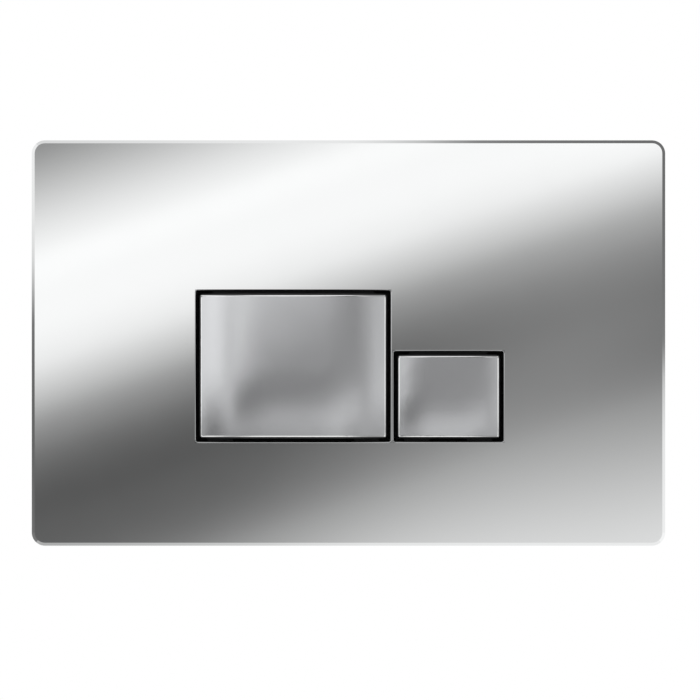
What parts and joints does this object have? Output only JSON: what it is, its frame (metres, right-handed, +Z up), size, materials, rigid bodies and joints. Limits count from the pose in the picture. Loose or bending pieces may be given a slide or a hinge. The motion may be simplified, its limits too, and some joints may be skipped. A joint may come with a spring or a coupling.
{
  "type": "flush button plate",
  "caption": "Wide chrome dual-flush plate with a large and a small rectangular button that press in to drive rods for a cistern hidden in the wall.",
  "frame": {"origin": "centre of the plate's outline on the finished wall", "axes": "+X right as seen from the front, +Y into the wall, +Z up; the plate faces -Y"},
  "size_m": [0.25, 0.1172, 0.16],
  "materials": {
    "polished_chrome": "polished",
    "satin_chrome": "satin",
    "black_plastic": "matte",
    "white_plastic": "satin",
    "grey_plastic": "satin",
    "dark_plastic": "satin",
    "steel": "zinc plated",
    "rubber": "matte"
  },
  "bodies": {
    "plate_unit": {"front_plate": "polished_chrome", "button_tray": "black_plastic", "tray_screws": "steel", "pivot_pin": "steel", "pin_clips": "steel", "full_return_spring_left": "steel", "full_return_spring_right": "steel", "half_return_spring": "steel", "mounting_frame": "white_plastic", "rod_bridge": "white_plastic", "fixing_bolts": "steel", "fixing_washers": "steel", "full_rod_guide": "dark_plastic", "half_rod_guide": "dark_plastic"},
    "full_button": {"full_flush_button": "satin_chrome", "full_button_buffers": "rubber"},
    "half_button": {"half_flush_button": "satin_chrome", "half_button_buffers": "rubber"},
    "full_rod": {"full_push_rod": "grey_plastic", "full_rod_head": "dark_plastic", "full_rod_lock_nut": "dark_plastic"},
    "half_rod": {"half_push_rod": "grey_plastic", "half_rod_head": "dark_plastic", "half_rod_lock_nut": "dark_plastic"}
  },
  "joints": [
    {"name": "full_button_hinge", "type": "hinge", "parent": "plate_unit", "child": "full_button", "pos_m": [0, -0.0035, 0.0281], "axis": [1, 0, 0], "range_deg": [0, 5.5], "stiffness_Nm_per_rad": 1.2, "springref_deg": -4.58, "deforming": ["full_return_spring_left", "full_return_spring_right"]},
    {"name": "half_button_hinge", "type": "hinge", "parent": "plate_unit", "child": "half_button", "pos_m": [0, -0.0035, 0.0281], "axis": [1, 0, 0], "range_deg": [0, 5.5], "stiffness_Nm_per_rad": 0.65, "springref_deg": -4.58, "deforming": ["half_return_spring"]},
    {"name": "full_rod_slide", "type": "slide", "parent": "plate_unit", "child": "full_rod", "axis": [0, 1, 0], "range_m": [0, 0.00523]},
    {"name": "half_rod_slide", "type": "slide", "parent": "plate_unit", "child": "half_rod", "axis": [0, 1, 0], "range_m": [0, 0.00523]}
  ],
  "couplings": [
    {"joint": "full_rod_slide", "follows": "full_button_hinge", "m_per_rad": 0.054281},
    {"joint": "half_rod_slide", "follows": "half_button_hinge", "m_per_rad": 0.054281}
  ]
}
